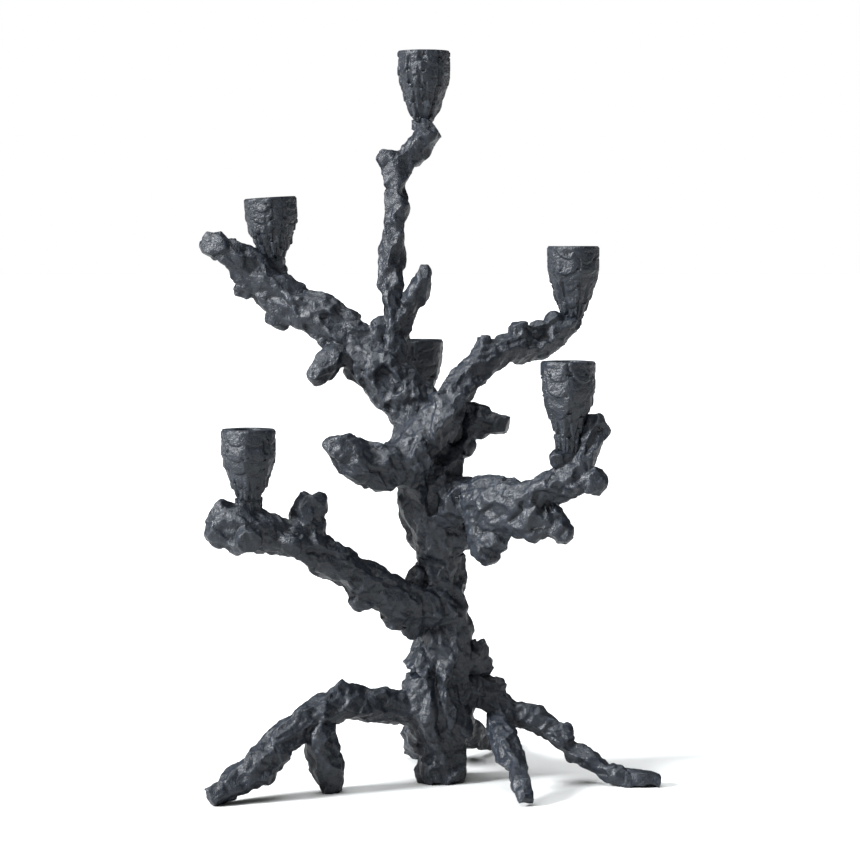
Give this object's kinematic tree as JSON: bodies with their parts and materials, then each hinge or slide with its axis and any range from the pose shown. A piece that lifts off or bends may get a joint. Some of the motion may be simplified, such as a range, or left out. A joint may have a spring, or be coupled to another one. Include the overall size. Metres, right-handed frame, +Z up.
{
  "type": "candelabrum",
  "caption": "Free-standing table candelabrum cast as a gnarled leafless tree on arching roots, its limbs ending in scaled cups for dinner candles.",
  "frame": {"origin": "centre of the trunk foot's flat underside, at table level", "axes": "+Z up along the trunk, -Y towards the front, where the lower limbs and the front root reach; +X to the viewer's right"},
  "size_m": [0.3671, 0.2494, 0.587],
  "materials": {
    "dark_coating": "satin blue-black patina",
    "stud_steel": "satin"
  },
  "bodies": {
    "root": {"cup_back": "dark_coating", "cup_lower_left": "dark_coating", "cup_lower_right": "dark_coating", "cup_top": "dark_coating", "cup_upper_left": "dark_coating", "cup_upper_right": "dark_coating", "leader": "dark_coating", "limb_back": "dark_coating", "limb_lower_left": "dark_coating", "limb_lower_right": "dark_coating", "limb_upper_left": "dark_coating", "limb_upper_right": "dark_coating", "root_back": "dark_coating", "root_back_left": "dark_coating", "root_left": "dark_coating", "root_left_front": "dark_coating", "root_right": "dark_coating", "root_right_front": "dark_coating", "stub_front": "dark_coating", "stub_lower_left": "dark_coating", "stub_lower_right": "dark_coating", "stub_right": "dark_coating", "studs_cups": "stud_steel", "studs_limbs": "stud_steel", "studs_roots": "stud_steel", "studs_trunk": "stud_steel", "trunk_crown": "dark_coating", "trunk_foot": "dark_coating", "trunk_lower": "dark_coating", "twig_leader": "dark_coating", "twig_upper_left": "dark_coating"}
  },
  "joints": []
}
